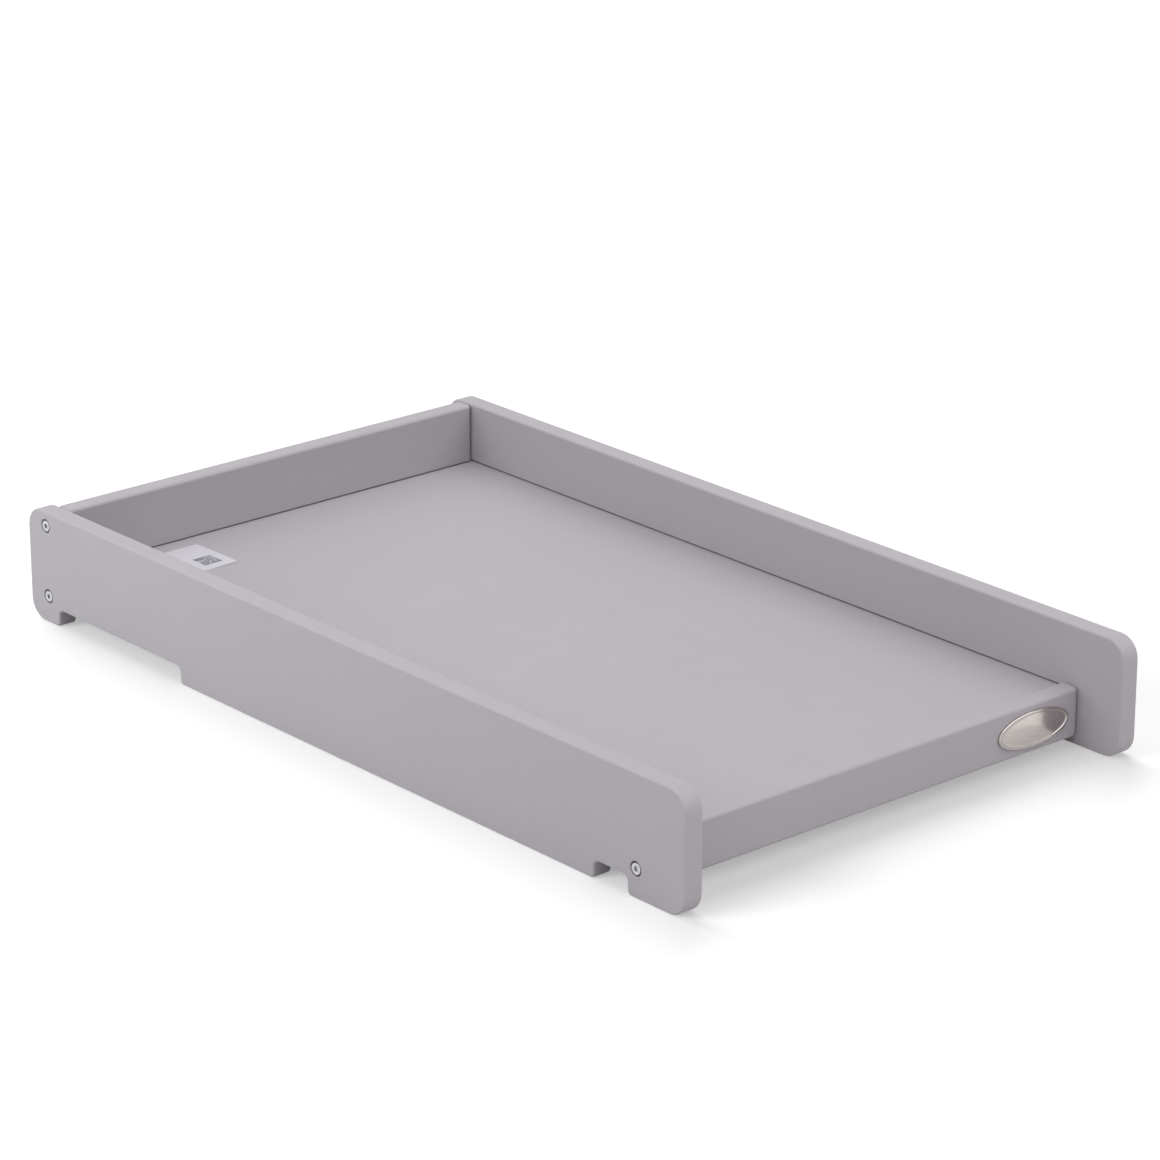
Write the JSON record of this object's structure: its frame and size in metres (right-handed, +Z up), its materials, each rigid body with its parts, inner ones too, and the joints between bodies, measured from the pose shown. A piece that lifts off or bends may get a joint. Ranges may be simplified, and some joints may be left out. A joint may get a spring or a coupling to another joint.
{
  "type": "cot top changer",
  "caption": "Painted wooden changing tray that lies on a cot's top rails: notched side panels, a closed end, a low rail at the open end and a grooved-in base, bolted together.",
  "frame": {"origin": "on the surface that the changer stands on, under the middle of the side panels", "axes": "+X along the side panels towards the open end, +Y from the front side panel to the rear one, +Z up"},
  "size_m": [0.85, 0.488, 0.102],
  "materials": {
    "painted_board": "warm grey satin paint over board",
    "zinc_steel": "bright zinc plate",
    "dowel_wood": "bare beech",
    "badge_metal": "nickel, polished rim round a satin field",
    "label_paper": "plain printed paper"
  },
  "bodies": {
    "root": {"front_side_panel": "painted_board", "rear_side_panel": "painted_board", "end_panel": "painted_board", "open_end_rail": "painted_board", "base_board": "painted_board", "bolt_front_end_upper": "zinc_steel", "bolt_front_end_lower": "zinc_steel", "bolt_front_rail": "zinc_steel", "bolt_rear_end_upper": "zinc_steel", "bolt_rear_end_lower": "zinc_steel", "bolt_rear_rail": "zinc_steel", "washer_front_end_upper": "zinc_steel", "washer_front_end_lower": "zinc_steel", "washer_front_rail": "zinc_steel", "washer_rear_end_upper": "zinc_steel", "washer_rear_end_lower": "zinc_steel", "washer_rear_rail": "zinc_steel", "barrel_nut_front_end_upper": "zinc_steel", "barrel_nut_front_end_lower": "zinc_steel", "barrel_nut_front_rail": "zinc_steel", "barrel_nut_rear_end_upper": "zinc_steel", "barrel_nut_rear_end_lower": "zinc_steel", "barrel_nut_rear_rail": "zinc_steel", "dowel_front": "dowel_wood", "dowel_rear": "dowel_wood", "oval_badge": "badge_metal", "paper_label": "label_paper"}
  },
  "joints": []
}
